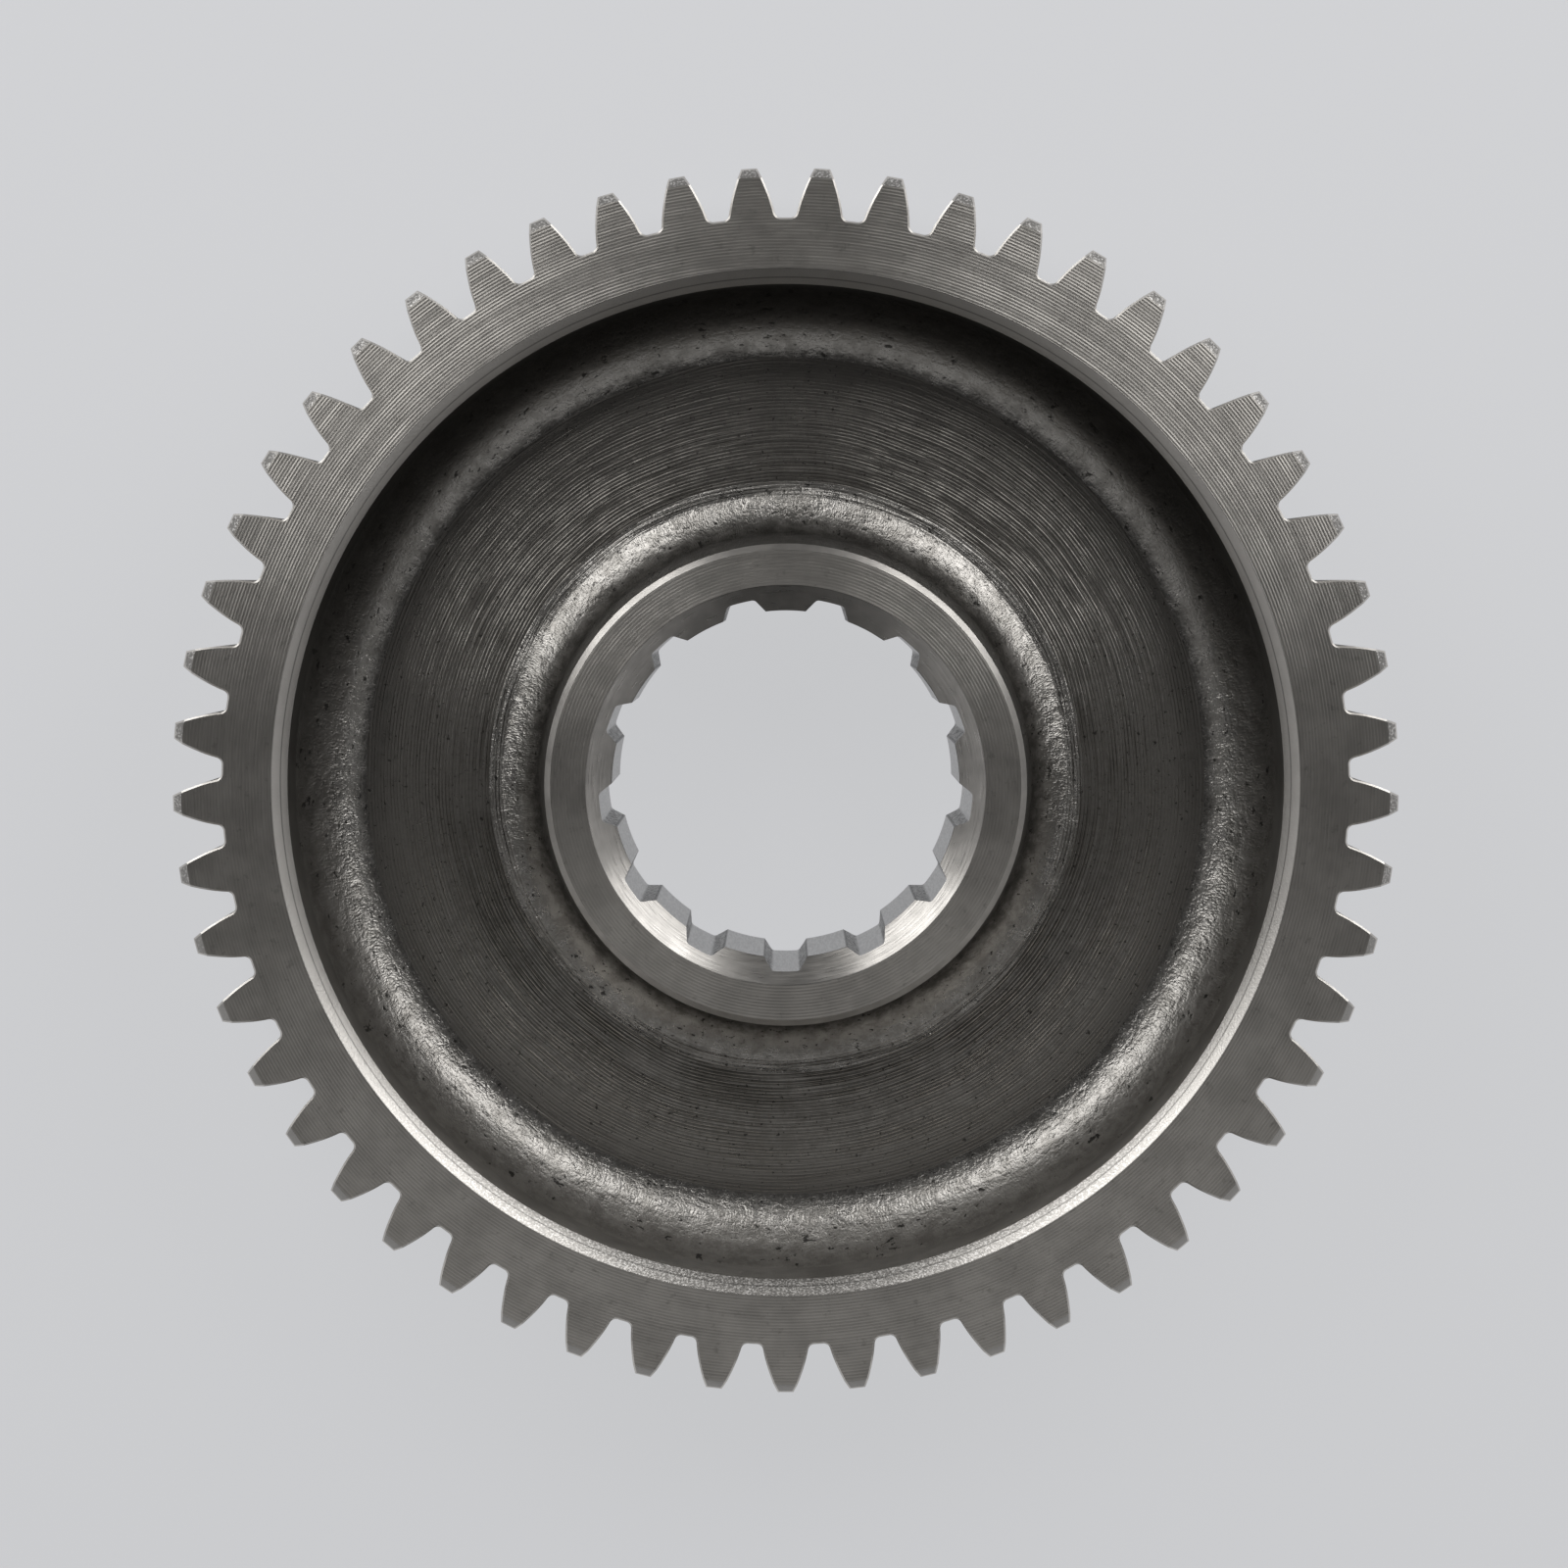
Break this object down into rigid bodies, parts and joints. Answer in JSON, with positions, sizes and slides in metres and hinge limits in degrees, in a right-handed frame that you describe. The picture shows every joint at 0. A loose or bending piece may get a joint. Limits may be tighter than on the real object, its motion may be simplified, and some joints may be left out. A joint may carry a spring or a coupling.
{
  "type": "reduction gear",
  "caption": "Spur reduction gear with a toothed rim, a deep front recess with a thin web, and a hub with a splined bore.",
  "frame": {"origin": "centre of the back face of the hub, which is the face that the gear lies on", "axes": "+Z along the gear's axis towards the recessed front, +Y towards the gap at the top of the picture, +X to the picture's right"},
  "size_m": [0.22, 0.2199, 0.044],
  "materials": {
    "gear_steel": "turned on the faces, forged in the recess"
  },
  "bodies": {
    "root": {"reduction_gear": "gear_steel"}
  },
  "joints": []
}
